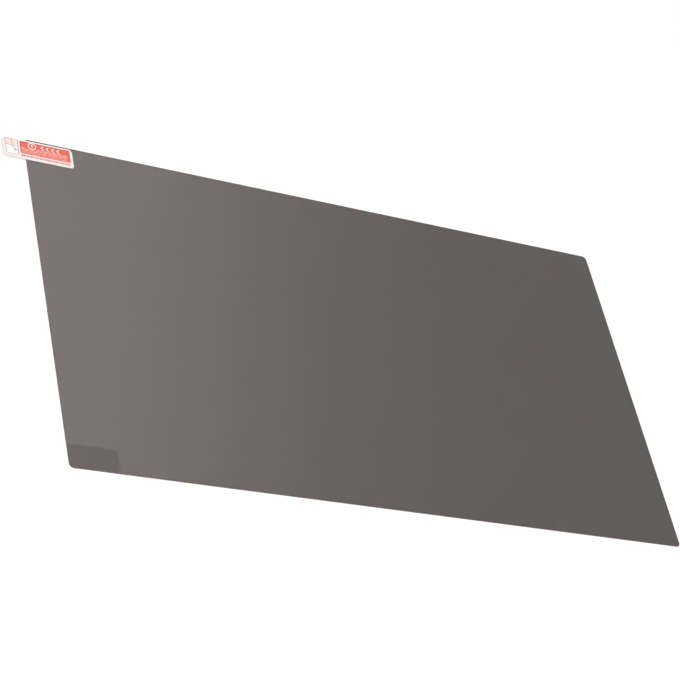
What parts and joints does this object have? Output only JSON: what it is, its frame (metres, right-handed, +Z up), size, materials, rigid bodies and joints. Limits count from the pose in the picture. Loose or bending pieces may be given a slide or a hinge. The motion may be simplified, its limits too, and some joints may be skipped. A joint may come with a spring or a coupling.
{
  "type": "laptop screen protector",
  "caption": "Flat tinted film with rounded corners between two clear peel-off liners, each with a pull tab at a left corner; sticks over a laptop screen to shade and guard it.",
  "frame": {"origin": "below the middle of the film's outline, at the level of the table that the film lies on; the resting face of the front liner is one label thickness higher", "axes": "+X along the film's width, away from the pull tabs; +Y along its height, to the edge with the first tab; +Z up, out of the adhesive side"},
  "size_m": [0.3564, 0.1934, 0.0006],
  "materials": {
    "tinted_film": "satin tinted plastic film, see-through",
    "clear_liner": "clear glossy release film",
    "tab_label": "white label film with a red print"
  },
  "bodies": {
    "root": {"tinted_film": "tinted_film", "back_liner": "clear_liner", "front_liner": "clear_liner", "back_pull_tab": "tab_label", "front_pull_tab": "tab_label"}
  },
  "joints": []
}
